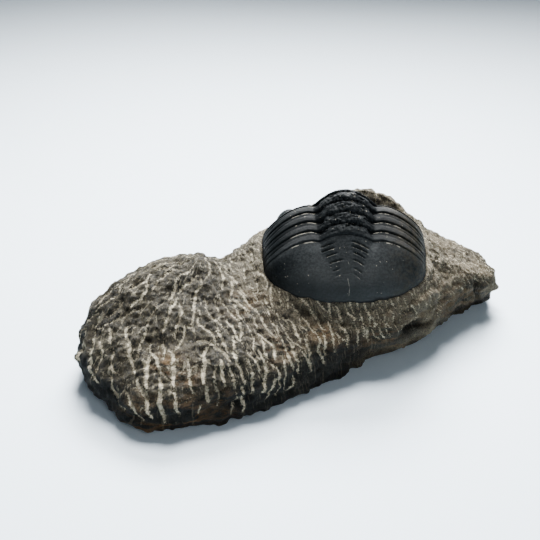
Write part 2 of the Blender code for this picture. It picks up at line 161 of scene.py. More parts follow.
def curve_through(points, count=400):
    rows = np.array(points, float)
    ends = np.vstack([2 * rows[0] - rows[1], rows, 2 * rows[-1] - rows[-2]])
    pieces = []
    for a, b, c, d in zip(ends, ends[1:], ends[2:], ends[3:]):
        t = np.linspace(0.0, 1.0, 40, endpoint=False)[:, None]
        square, cube = 2 * a - 5 * b + 4 * c - d, 3 * b - a - 3 * c + d
        pieces.append(0.5 * (2 * b + (c - a) * t + square * t**2 + cube * t**3))
    return evenly(np.vstack([*pieces, rows[-1:]]), count)


def noise_at(points, size, offset=0.0):
    """Smooth noise, about -1 to 1, with lumps of this size."""
    shift = Vector((offset, 1.7 * offset, -2.3 * offset))
    return np.array([noise.noise(Vector(p) / size + shift) for p in points])


BACK = curve_through(BACK_LINE)
AXIS = np.array(AXIS_LOBE)
RIM = np.array(RIM_LINE)


def rim_height(y):
    return np.interp(y, RIM[:, 0], RIM[:, 1])


def widest(y):
    share = np.clip((y - WIDENING_FROM) / (WIDENING_TO - WIDENING_FROM), 0.0, 1.0)
    return HALF_WIDTH + THORAX_WIDENING * np.sin(math.pi * share)


def rim_point(y_back):
    turn = math.radians(90.0)
    rim_y = y_back
    if y_back < THORAX_START:
        turn *= (y_back / TAIL_LENGTH) ** 0.62
        rim_y = TAIL_LENGTH * (1.0 - math.cos(turn))
    elif y_back > THORAX_END:
        turn *= ((BODY_LENGTH - y_back) / HEAD_LENGTH) ** 0.62
        rim_y = BODY_LENGTH - HEAD_LENGTH * (1.0 - math.cos(turn))
    return float(widest(rim_y)) * math.sin(turn), rim_y


def arch_shape(y_back):
    to_thorax = smooth(THORAX_ARCH_FROM, THORAX_START, y_back)
    to_front = smooth(THORAX_END, BODY_LENGTH, y_back)
    rear = (1.0 - to_thorax) * np.array(TAIL_ARCH) + to_thorax * np.array(THORAX_ARCH)
    return (1.0 - to_front) * rear + to_front * np.array(HEAD_FRONT_ARCH)


def segment_relief(through, lobe, pleura, rim_share):
    """Height of a segment's surface over the plain back, from its rear edge (0) to its front (1)."""
    step = SEGMENT_STEP * (1.0 - through) ** 1.1 * (1.0 + 0.4 * lobe)
    swell = (0.05 + 0.22 * lobe + 0.08 * rim_share) * math.sin(math.pi * through) ** 0.8
    rear_round = -0.20 * max(0.0, 1.0 - through / 0.10) ** 2
    front_dip = -0.15 * max(0.0, (through - 0.93) / 0.07) ** 2 * (1.0 + 1.2 * lobe)
    furrow_line = through - 0.50 - 0.12 * (1.0 - rim_share)
    furrow_depth = 0.08 + 0.34 * smooth(0.05, 0.5, rim_share)
    mid_furrow = -furrow_depth * bell(furrow_line, 0.09) * pleura
    return step + swell + rear_round + front_dip + mid_furrow


def tail_relief(y_back, x):
    """The ring furrows of the tail's axis, and the pale grit that lies in them."""
    relief = np.zeros_like(x)
    grit = np.zeros_like(x)
    for station, left_in, left_out, right_in, right_out, depth in RING_FURROWS:
        start = np.where(x < 0, left_in, right_in)
        end = np.where(x < 0, left_out, right_out)
        through = (np.abs(x) - start) / (end - start)
        window = smooth(-0.28, 0.25, through) * (1.0 - smooth(0.8, 1.15, through))
        line = station - np.where(x < 0, 0.35, 1.0) * np.clip(through, 0.0, 1.3) ** 1.5
        lip = 0.3 * bell(y_back - line + 0.6, 0.35)
        relief += window * depth * (lip - 1.5 * bell(y_back - line, 0.24))
        grit += 2.6 * depth * bell(y_back - line + 0.3, 0.16) * window * np.where(x > 0, 1.2, 0.9)
    return relief, grit


def tail_marks(y_back, x):
    """Pale mineral on the tail shield: a broken median line, one healed crack and dust at the front."""
    median = 0.55 * bell(x - 0.1 - 0.25 * math.sin(1.3 * y_back), 0.2) * (1.0 - smooth(7.0, 8.2, y_back))
    crack_line = 5.4 + 0.71 * (x - 5.2) + 0.25 * np.sin(0.9 * x)
    crack = 0.5 * bell(y_back - crack_line, 0.17) * smooth(4.4, 6.0, x) * (1.0 - smooth(12.5, 15.0, x))
    margin = 0.7 * bell(y_back - THORAX_START + 0.3, 0.3) * smooth(7.5, 9.5, np.abs(x))
    return median + crack + margin * (1.0 - smooth(16.0, 21.0, np.abs(x)))


def eye_relief(x, y):
    out, ahead = EYE_POSITION
    reach = np.hypot((np.abs(x) - out) / EYE_RADIUS, (y - ahead) / (1.25 * EYE_RADIUS))
    return EYE_HEIGHT * np.sqrt(np.clip(1.0 - reach**2, 0.0, 1.0)) - 0.5 * bell(reach - 1.12, 0.16)


def head_relief(y_back, x, lobe_half):
    """The neck ring, the side furrows of the glabella and the facial sutures."""
    across = np.abs(x) / lobe_half
    relief = -0.55 * bell(y_back - 44.6, 0.45) * (1.0 - smooth(0.9, 1.2, across))
    for station in (47.6, 50.4):
        on_side = smooth(0.45, 0.7, across) * (across < 1.0)
        relief -= 0.35 * bell(y_back - station - 0.9 * across, 0.4) * on_side
    suture = 12.2 + 2.2 * math.sin((y_back - 42.0) / 4.2)
    relief -= 0.16 * bell(np.abs(x) - suture, 0.18)
    return relief - 0.35 * bell(y_back - 57.6, 0.5)


def arch(y_back, segment_through=None):
    """The cross-section whose top is y_back from the tail tip, with what the looks need."""
    back_height = float(np.interp(y_back, BACK[:, 0], BACK[:, 1]))
    half_width, rim_y = rim_point(y_back)
    rim_z = float(rim_height(rim_y))
    top = np.array([y_back, back_height])
    down = np.array([rim_y, rim_z]) - top
    depth = max(np.linalg.norm(down), 1e-6)
    level, bend, steepness = arch_shape(y_back)
    out = np.sin(np.linspace(0.0, math.pi / 2, 500))
    bent = np.clip((out - level) / (1.0 - level), 0.0, 1.0)
    half = np.column_stack([half_width * out, depth * (1.0 - (1.0 - bent**bend) ** (1.0 / steepness))])
    half = evenly(half, COLUMNS // 2 + 1)
    x = np.concatenate([-half[::-1, 0], half[1:, 0]])
    fall = np.concatenate([half[::-1, 1], half[1:, 1]])
    lobe_half, lobe_height = (float(np.interp(y_back, AXIS[:, 0], AXIS[:, k])) for k in (1, 2))
    lobe_half = min(lobe_half, 0.6 * half_width)
    inside = np.clip(1.0 - (x / lobe_half) ** 2, 0.0, 1.0)
    on_tail = 1.0 - float(smooth(THORAX_START - 3.0, THORAX_START, y_back))
    spread = np.clip(1.0 - (x / (lobe_half * (LOBE_SPREAD + 0.1 * on_tail))) ** 2, 0.0, 1.0)
    rise = lobe_height * spread ** (LOBE_FULLNESS + 0.5 * on_tail)
    furrow = FURROW_DEPTH * min(1.0, lobe_height) * (1.0 - 0.7 * on_tail)
    rise -= furrow * bell(np.abs(x) - LOBE_SPREAD * lobe_half, FURROW_WIDTH + on_tail)
    rim_share = np.clip(fall / depth, 0.0, 1.0)
    y_plain = top[0] + down[0] * rim_share
    grit = np.zeros_like(x)
    lobe = smooth(0.0, 0.8, inside) * min(1.0, lobe_height / 3.0)
    pleura = smooth(1.1, 1.45, np.abs(x) / lobe_half)
    if segment_through is not None:
        rise += segment_relief(segment_through, lobe, pleura, rim_share)
        pit = bell(np.abs(x) - 0.92 * lobe_half, 1.1) * smooth(0.40, 0.80, segment_through)
        rise -= 1.0 * pit
        inner = smooth(lobe_half, lobe_half + 1.0, np.abs(x)) * (1.0 - smooth(15.0, 20.0, np.abs(x)))
        grit += smooth(0.84, 0.91, segment_through) * (0.25 + 0.6 * inner)
    elif y_back < THORAX_START:
        relief, grit = tail_relief(y_back, x)
        rise += relief
        grit += tail_marks(y_back, x)
    else:
        rise += head_relief(y_back, x, lobe_half)
    rise += eye_relief(x, y_plain) * (1.0 if y_back > THORAX_END - 4.0 else 0.0)
    share = (fall - rise) / depth
    sweep_share = smooth(0.4 * THORAX_START, THORAX_START, y_back)
    sweep_share *= 1.0 - smooth(THORAX_END, 0.5 * (THORAX_END + BODY_LENGTH), y_back)
    out = np.abs(x) / half_width
    swept = np.clip((out - SWEEP_FROM) / (1.0 - SWEEP_FROM), 0.0, 1.0) ** 1.6
    y = top[0] + down[0] * share - PLEURAL_SWEEP * sweep_share * swept * (1.0 - out**8)
    if segment_through is not None:
        taper = smooth(0.72, 1.0, rim_share)
        y += taper * (0.75 * (1.0 - segment_through) ** 2 - 0.25 * segment_through**2)
    z = top[1] + down[1] * share
    lobe_mark = inside * min(1.0, lobe_height / 2.0)
    return np.column_stack([x, y, z]), grit, lobe_mark


def grid_normals(grid):
    along = np.gradient(grid, axis=0)
    across = np.gradient(grid, axis=1)
    normals = np.cross(across, along)
    lengths = np.linalg.norm(normals, axis=2)
    return normals / np.maximum(lengths, 1e-9)[:, :, None]


def roughen_plate(grid, lobe_mark, grit):
    """Dents, chips and the broken middle rings of a plate."""
    rows, columns = grid.shape[:2]
    flat = grid.reshape(-1, 3)
    normals = grid_normals(grid).reshape(-1, 3)
    normals *= np.sign(normals[:, 2:3] + 1e-9)
    lobe = lobe_mark.ravel()
    y = flat[:, 1]
    broken = lobe**0.5 * smooth(14.5, 17.5, y) * (1.0 - smooth(28.5, 31.0, y))
    coarse = noise_at(flat * [0.6, 1.0, 1.0], 1.9, 3.0)
    fine = noise_at(flat, 0.8, 9.0)
    chips = np.clip(noise_at(flat * [0.8, 1.6, 1.0], 1.5, 21.0) - 0.08, 0.0, 1.0)
    push = 0.07 * noise_at(flat, 7.0, 1.0) + 0.03 * noise_at(flat, 2.0, 5.0) + 0.015 * fine
    push += broken * (0.42 * coarse + 0.25 * fine - 0.9 * chips)
    edge_chip = np.clip(noise_at(flat, 1.3, 33.0) - 0.42, 0.0, 1.0) * (1.0 - broken)
    push -= 0.5 * edge_chip * np.clip(grit.ravel(), 0.0, 1.0)
    moved = flat + normals * push[:, None]
    grit_out = np.clip(grit.ravel(), 0.0, 1.0) + 0.9 * broken * np.clip(chips - 0.22, 0.0, 1.0)
    shape = (rows, columns)
    return moved.reshape(*shape, 3), grit_out.reshape(shape), broken.reshape(shape)


def border_indices(rows, columns):
    bottom = [(0, c) for c in range(columns)]
    right = [(r, columns - 1) for r in range(1, rows - 1)]
    top = [(rows - 1, c) for c in range(columns - 1, -1, -1)]
    left = [(r, 0) for r in range(rows - 2, 0, -1)]
    return bottom + right + top + left


def mesh_from(name, verts, faces, uvs, attributes):
    """A mesh object in the row frame, with its own bake map and point attributes."""
    mesh = bpy.data.meshes.new(name)
    placed = np.asarray(verts) * MM + np.array(FOSSIL_ORIGIN)
    mesh.from_pydata(placed.tolist(), [], faces)
    layer = mesh.uv_layers.new(name="OFBake")
    layer.data.foreach_set("uv", np.asarray(uvs, np.float32).ravel())
    for key, values in attributes.items():
        made = mesh.attributes.new(name=key, type="FLOAT", domain="POINT")
        made.data.foreach_set("value", np.asarray(values, np.float32))
    bm = bmesh.new()
    bm.from_mesh(mesh)
    bmesh.ops.recalc_face_normals(bm, faces=bm.faces)
    bm.to_mesh(mesh)
    bm.free()
    made = bpy.data.objects.new(name, mesh)
    bpy.context.scene.collection.objects.link(made)
    return made


def arc_lengths(grid, axis):
    steps = np.linalg.norm(np.diff(grid, axis=axis), axis=2)
    total = np.cumsum(steps, axis=axis)
    start = np.zeros_like(np.take(total, [0], axis=axis))
    return np.concatenate([start, total], axis=axis)


def build_plate(name, node, stations, throughs, material):
    """One plate: its fine upper surface, its walls down to the bed and its flat underside."""
    sections = [arch(y, through) for y, through in zip(stations, throughs)]
    grid = np.array([s[0] for s in sections])
    grit = np.array([s[1] for s in sections])
    lobe_mark = np.array([s[2] for s in sections])
    grid, grit, broken = roughen_plate(grid, lobe_mark, grit)
    rows, columns = grid.shape[:2]
    edge = border_indices(rows, columns)
    low = np.array([grid[r, c] for r, c in edge])
    low[:, 2] = rim_height(low[:, 1]) - RIM_SKIRT
    verts = np.vstack([grid.reshape(-1, 3), low])
    span = np.tile(np.linspace(0.0, 1.0, columns), (rows, 1))
    height = arc_lengths(grid, 0).mean(axis=1)
    length = arc_lengths(grid, 1).max()
    share = min(0.8, height.max() / length)
    rise = np.tile((height / height.max() * share)[:, None], (1, columns))
    top_uv = np.dstack([span * 0.98 + 0.01, rise * 0.98 + 0.01])
    faces = []
    uvs = []
    for r in range(rows - 1):
        for c in range(columns - 1):
            corners = ((r, c), (r, c + 1), (r + 1, c + 1), (r + 1, c))
            faces.append([i * columns + j for i, j in corners])
            uvs.extend(top_uv[i, j] for i, j in corners)
    count = len(edge)
    base = rows * columns
    for k in range(count):
        n = (k + 1) % count
        a, b = edge[k], edge[n]
        faces.append([a[0] * columns + a[1], b[0] * columns + b[1], base + n, base + k])
        left, right = k / count * 0.98 + 0.01, (k + 1) / count * 0.98 + 0.01
        uvs.extend(((left, 0.9), (right, 0.9), (right, 0.83), (left, 0.83)))
    faces.append([base + k for k in range(count)][::-1])
    low_x = (low[::-1, 0] / HALF_WIDTH * 0.48 + 0.5)
    low_y = 0.92 + 0.07 * (low[::-1, 1] - low[:, 1].min()) / max(np.ptp(low[:, 1]), 1e-6)
    uvs.extend(zip(low_x, low_y))
    extra = np.zeros(count)
    attributes = {
        "grit": np.concatenate([grit.ravel(), extra]),
        "broken": np.concatenate([broken.ravel(), extra]),
        "axis_side": np.concatenate([grid[:, :, 0].ravel(), low[:, 0]]) / HALF_WIDTH,
        "along": np.concatenate([np.repeat(stations, columns), np.full(count, stations[0])]),
    }
    piece = mesh_from(name, verts, faces, uvs, attributes)
    piece.data.materials.append(material)
    piece.data.shade_smooth()
    piece.data.set_sharp_from_angle(angle=math.radians(48.0))
    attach(piece, "root")
    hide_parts(node)
    return piece


# ------------------------------------------------------------------ rock


def outline_curve(count):
    corners = np.vstack([ROCK_OUTLINE[-2:], ROCK_OUTLINE, ROCK_OUTLINE[:3]])
    curve = curve_through(corners, 4000) - ROCK_CENTRE
    around = np.unwrap(np.arctan2(curve[:, 1], curve[:, 0]))
    radii = np.hypot(curve[:, 0], curve[:, 1])
    bearing = np.linspace(0.0, 2 * math.pi, 4000, endpoint=False)
    order = np.argsort(np.mod(around, 2 * math.pi))
    radius = np.interp(bearing, np.mod(around, 2 * math.pi)[order], radii[order], period=2 * math.pi)
    ring = np.column_stack([radius * np.cos(bearing), radius * np.sin(bearing)])
    closed = np.vstack([ring, ring[:1]])
    even = evenly(closed, count + 1)[:-1]
    return np.arctan2(even[:, 1], even[:, 0]), np.hypot(even[:, 0], even[:, 1])


def footprint_radius(bearings, margin):
    """Distance from the slab's centre to the plates' outline, at these bearings."""
    distance = np.linspace(0.0, 60.0, 2400)
    x = ROCK_CENTRE[0] + np.cos(bearings)[:, None] * distance
    y = ROCK_CENTRE[1] + np.sin(bearings)[:, None] * distance
    near_tail = np.maximum(THORAX_START - y, 0.0) / (TAIL_LENGTH + margin)
    near_head = np.maximum(y - THORAX_END, 0.0) / (HEAD_LENGTH + margin)
    inside = (x / (widest(y) + margin)) ** 2 + near_tail**2 + near_head**2 < 1.0
    return distance[np.argmin(inside, axis=1)]


def off_footprint(x, y):
    near_tail = np.maximum(THORAX_START - y, 0.0) / TAIL_LENGTH
    near_head = np.maximum(y - THORAX_END, 0.0) / HEAD_LENGTH
    size = np.sqrt((x / widest(y)) ** 2 + near_tail**2 + near_head**2)
    return (size - 1.0) * HALF_WIDTH * 0.8


def top_height(x, y):
    total = np.zeros_like(x)
    weights = np.full_like(x, 1e-9)
    for point_x, point_y, height in TOP_HEIGHTS:
        weight = np.exp(-(((x - point_x) / TOP_BLEND) ** 2 + ((y - point_y) / TOP_BLEND) ** 2) ** 0.5)
        total += weight * height
        weights += weight
    return total / weights


def undercut(points):
    start = WEDGE_EDGE[1] + 3.0
    below = smooth(0.0, 1.0, (start - points[:, 2]) / (FLOOR_DEPTH + start))
    beside = np.exp(-(((points[:, 0] - UNDERCUT_CENTRE) / UNDERCUT_REACH) ** 4))
    behind = points[:, 1] - 0.7 * np.maximum(points[:, 0] - UNDERCUT_TURN, 0.0)
    near_side = 1.0 - smooth(0.0, THORAX_START + 5.0, behind)
    return UNDERCUT * below * beside * near_side


def edge_profile(squareness, level):
    """The slab's edge in section, from the middle of the top to the floor, in shares of its size."""
    turn = np.linspace(0.0, math.pi / 2, 500)
    power = 2.0 / squareness
    top = np.column_stack([np.sin(turn) ** power, np.cos(turn) ** power])
    floor_crown = (FLOOR_DEPTH + level) / (FLOOR_DEPTH + BASE_ROUNDING + level)
    crown = np.linspace(0.0, floor_crown, 501)[1:]
    side = np.column_stack([(1.0 - crown**squareness) ** (1.0 / squareness), -crown])
    return np.vstack([top, side])


def plain_slab():
    """The slab's surface as a grid: each row of points runs from the plates' outline to the floor."""
    bearings, radii = outline_curve(BEARINGS)
    inner = footprint_radius(bearings, 0.25) / radii
    lobe, wedge = edge_profile(*LOBE_EDGE), edge_profile(*WEDGE_EDGE)
    steps = len(lobe) // 2
    grid = np.zeros((BEARINGS, ROCK_ROWS, 3))
    for i, (bearing, radius) in enumerate(zip(bearings, radii)):
        to_right = smooth(*EDGE_CHANGE_X, ROCK_CENTRE[0] + radius * math.cos(bearing))
        to_far = smooth(*EDGE_CHANGE_Y, ROCK_CENTRE[1] + radius * math.sin(bearing))
        change = float(max(to_right, to_far))
        reach, crown = ((1.0 - change) * lobe + change * wedge).T
        level = (1.0 - change) * LOBE_EDGE[1] + change * WEDGE_EDGE[1]
        keep = reach >= inner[i]
        keep[steps:] = True
        r = np.concatenate([[inner[i]], reach[keep]])
        c = np.concatenate([[np.interp(inner[i], reach[:steps], crown[:steps])], crown[keep]])
        x = ROCK_CENTRE[0] + radius * r * math.cos(bearing)
        y = ROCK_CENTRE[1] + radius * r * math.sin(bearing)
        drop = np.where(c >= 0, top_height(x, y) - level, FLOOR_DEPTH + BASE_ROUNDING + level)
        grid[i] = evenly(np.column_stack([x, y, level + drop * c]), ROCK_ROWS)
    return grid


def closed_normals(grid):
    wrapped = np.concatenate([grid[-2:], grid, grid[:2]], axis=0)
    normals = grid_normals(wrapped)[2:-2]
    middle = np.array([ROCK_CENTRE[0], ROCK_CENTRE[1], WEDGE_EDGE[1]])
    facing = np.sum(normals * (grid - middle), axis=2)
    return normals * np.sign(facing.mean())


STROKE_SEED = 11
SEED_POINTS = 9000  # places where a stroke may start
rng = np.random.default_rng(STROKE_SEED)
FAN_CENTRE = Vector((-43.0, 24.0, 4.0))
MAIN_LEAN = Vector((0.40, -0.90, -0.35))
OFF_STROKE = -2.0
STEP = 0.4  # along a stroke
CELL = 2.5  # of the grid that finds neighbouring strokes
OVERHANG = -0.05  # where the surface's normal points lower than this there are no strokes
BARE_FOOT = 3.0  # and none in the lowest part of the wall
STEEP = 0.35  # on a wall, where the normal is lower than this, strokes tend to run out
BEND_KEPT = 0.93  # from step to step
BEND_CHANGE = 0.11


def lean_share(x):
    """0 where the strokes fan out over the left lobe, 1 where they all lean one way."""
    return smooth(-50.0, -30.0, x)


def stroke_direction(p, normal):
    """The way a tool stroke runs here."""
    fan = p - FAN_CENTRE
    fan.z *= 0.4
    lean = max(float(lean_share(p.x)), 0.75 * (1.0 - float(smooth(-22.0, -2.0, p.y))))
    side = float(smooth(8.0, 30.0, p.x))
    wanted = fan.normalized() * (1.0 - lean) + MAIN_LEAN * lean + Vector((0.55, 0.25, 0.0)) * side
    wanted.z -= 0.25
    wobble = 0.55 * noise.noise(p / 4.5) + 0.35 * noise.noise(p / 1.8)
    flat = wanted - normal * wanted.dot(normal)
    if flat.length < 1e-4:
        return Vector((0.0, -1.0, 0.0))
    return Matrix.Rotation(wobble, 3, normal) @ flat.normalized()


def stroke_spacing(p):
    """Distance between neighbouring strokes, and half width and greatest length of a stroke here."""
    lean = float(lean_share(p.x))
    side = float(smooth(2.0, 16.0, p.x))
    behind = float(smooth(22.0, 32.0, p.y))
    spacing = 4.0 - 1.5 * lean - 0.8 * max(side, behind)
    half_width = 0.30 - 0.05 * lean - 0.09 * max(side, behind)
    return spacing, half_width, 26.0 - 10.0 * lean - 9.0 * max(side, behind)


class Surface:
    """The slab's points, to follow while a stroke is traced."""

    def __init__(self, points, normals):
        self.points = points
        self.normals = normals
        self.tree = kdtree.KDTree(len(points))
        for i, p in enumerate(points):
            self.tree.insert(p, i)
        self.tree.balance()

    def settle(self, p):
        _, index, _ = self.tree.find(p)
        normal = Vector(self.normals[index])
        return p - normal * (p - Vector(self.points[index])).dot(normal), normal


def cell_of(p):
    return int(p.x // CELL), int(p.y // CELL), int(p.z // CELL)


def nearest_stroke(cells, p):
    x, y, z = cell_of(p)
    best = 1e9
    for i in (x - 1, x, x + 1):
        for j in (y - 1, y, y + 1):
            for k in (z - 1, z, z + 1):
                for other in cells.get((i, j, k), ()):
                    best = min(best, (other - p).length_squared)
    return math.sqrt(best)


def trace_half(surface, cells, start, sign, turn, length):
    """Follows a stroke from its seed one way, until it runs out or meets another."""
    path = []
    p, normal = surface.settle(start)
    bend = 0.0
    for _ in range(int(length / STEP)):
        if normal.z < OVERHANG or p.z < BARE_FOOT - FLOOR_DEPTH:
            break
        if normal.z < STEEP and rng.random() < (0.08 if p.x > -60.0 else 0.03):
            break
        path.append(p)
        bend = BEND_KEPT * bend + rng.normal(0.0, BEND_CHANGE)
        heading = Matrix.Rotation(turn + bend, 3, normal) @ stroke_direction(p, normal)
        p, normal = surface.settle(p + heading * (STEP * sign))
        if nearest_stroke(cells, p) < 0.38 * stroke_spacing(p)[0]:
            path.append(p)
            break
    return path


def trace_strokes(points, normals):
    """Evenly spaced tool strokes over the slab.  Returns their points and half widths."""
    surface = Surface(points, normals)
    cells = {}
    found = []
    seeds = rng.permutation(np.flatnonzero(normals[:, 2] > 0.15))[:SEED_POINTS]
    for index in seeds:
        start = Vector(points[index])
        spacing, half_width, longest = stroke_spacing(start)
        if nearest_stroke(cells, start) < 0.85 * spacing:
            continue
        length = longest * rng.uniform(0.4, 1.0)
        turn = rng.normal(0.0, 0.22)
        back = trace_half(surface, cells, start, -1.0, turn, 0.5 * length)
        path = back[::-1] + trace_half(surface, cells, start, 1.0, turn, 0.5 * length)[1:]
        if len(path) < 4:
            continue
        half_width *= rng.uniform(0.6, 1.25)
        for k, p in enumerate(path):
            cells.setdefault(cell_of(p), []).append(p)
            share = k / (len(path) - 1)
            swell = 0.35 + 0.8 * math.sin(math.pi * min(1.0, 0.1 + 0.85 * share)) ** 0.6
            low = float(smooth(0.0, -8.0, p.z)) * float(smooth(-4.0, -14.0, p.y))
            found.append((p, half_width * swell * (1.0 + 0.5 * low) * rng.uniform(0.75, 1.25)))
    return found


def stroke_field(points, strokes):
    """How far inside the edge of a stroke each point lies, in millimetres; negative outside."""
    tree = kdtree.KDTree(len(strokes))
    for i, (p, _) in enumerate(strokes):
        tree.insert(p, i)
    tree.balance()
    field = np.full(len(points), OFF_STROKE)
    for i, p in enumerate(points):
        for _, index, distance in tree.find_n(p, 3):
            field[i] = max(field[i], strokes[index][1] - distance)
    return field


STAINS = (  # centre x, y, z, radius, strength
    (-54.0, -24.0, -9.0, 4.5, 1.0), (-49.0, -27.0, -10.0, 4.0, 0.9), (-60.0, -33.0, -18.0, 6.0, 0.7),
    (-50.0, -36.0, -19.0, 8.0, 0.7), (-38.0, -31.0, -15.0, 4.0, 0.5), (-22.0, -16.0, -8.0, 6.0, 0.35),
    (-8.0, -8.0, -7.0, 6.0, 0.4), (22.0, 4.0, -8.0, 9.0, 0.5), (32.0, 14.0, -8.0, 8.0, 0.5),
    (12.0, -2.0, -12.0, 9.0, 0.55), (40.0, 24.0, -10.0, 8.0, 0.4), (-30.0, 0.0, 0.0, 7.0, 0.35),
)
HOLLOWS = (  # centre x, y, z, radii x, y, z, depth
    (21.5, 1.5, -9.8, 5.0, 7.0, 2.8, 4.6), (45.0, 26.0, -10.0, 1.3, 4.0, 7.0, 2.2),
    (-62.0, -36.0, -16.0, 7.0, 5.0, 2.2, 1.2), (-34.0, -31.0, -15.0, 6.0, 5.0, 2.0, 1.3),
    (-70.0, -29.0, -12.0, 5.0, 5.0, 2.0, 1.0), (2.0, -7.0, -14.0, 6.0, 5.0, 2.2, 1.2),
)


def build_rock(material):
    grid = plain_slab()
    flat = grid.reshape(-1, 3)
    normals = closed_normals(grid).reshape(-1, 3)
    lumps = noise_at(flat, LUMP_SIZE) + 0.45 * noise_at(flat, 0.45 * LUMP_SIZE, 3.0)
    flat = flat + normals * (LUMP_HEIGHT * lumps)[:, None]
    flat[:, 1] += undercut(flat)
    outside = off_footprint(flat[:, 0], flat[:, 1])
    near = (1.0 - smooth(0.0, COLLAR_WIDTH, outside)) * smooth(0.1, 0.5, normals[:, 2])
    ragged = noise_at(flat, 5.0, 41.0) + 0.4 * noise_at(flat, 1.6, 43.0)
    crust = COLLAR_PROUD + COLLAR_UNEVEN * np.clip(ragged + 0.1, -0.3, 1.0)
    flat[:, 2] += near * (rim_height(flat[:, 1]) + crust - flat[:, 2])

    grid = flat.reshape(BEARINGS, ROCK_ROWS, 3)
    normals = closed_normals(grid).reshape(-1, 3)
    away = smooth(0.2, 2.5, outside)
    wall = 1.0 - smooth(0.25, 0.75, normals[:, 2])
    strokes = trace_strokes(flat[::2], normals[::2])
    field = stroke_field(flat, strokes)

    middle = noise_at(flat, 5.5, 5.0)
    small = noise_at(flat, 2.3, 7.0)
    tiny = noise_at(flat, 1.1, 8.0)
    knobs = np.abs(noise_at(flat, 3.4, 13.0))
    strata = noise_at(flat * [0.22, 0.22, 1.0], 1.7, 17.0)
    blocks = np.abs(noise_at(flat * [1.0, 1.0, 1.4], 6.5, 19.0))
    push = 0.9 * middle + 0.55 * small + 0.34 * tiny + 0.8 * (knobs - 0.2)
    push += wall * (0.8 * strata + 2.0 * (blocks - 0.22) + 0.3 * small)
    push *= 0.12 + 0.88 * away
    push -= (0.26 * smooth(-0.25, 0.25, field) + 0.30 * smooth(-1.6, 0.0, field)) * (0.3 + 0.7 * away)
    # How deep inside a hollow each point lies; used only to paint shade into the rock's colour there.
    hollow_shade = np.zeros(len(flat))
    for cx, cy, cz, rx, ry, rz, depth in HOLLOWS:
        u, v, w = (flat[:, 0] - cx) / rx, (flat[:, 1] - cy) / ry, (flat[:, 2] - cz) / rz
        size = u**2 + v**2 + w**2
        push -= depth * np.exp(-size) * (0.5 + 0.5 * wall)
        hollow_shade = np.maximum(hollow_shade, np.exp(-(size**2)))
    flat = flat + normals * push[:, None]

    grid = flat.reshape(BEARINGS, ROCK_ROWS, 3)
    grid[:, -1, 2] = -FLOOR_DEPTH
    grid[:, :-1, 2] = np.maximum(grid[:, :-1, 2], -FLOOR_DEPTH + 0.05)
    beside = 1.0 - smooth(1.0, 13.0, outside)
    finish_rock(grid, {"stroke": field, "wall": wall, "beside": beside, "hollow_shade": hollow_shade}, material)


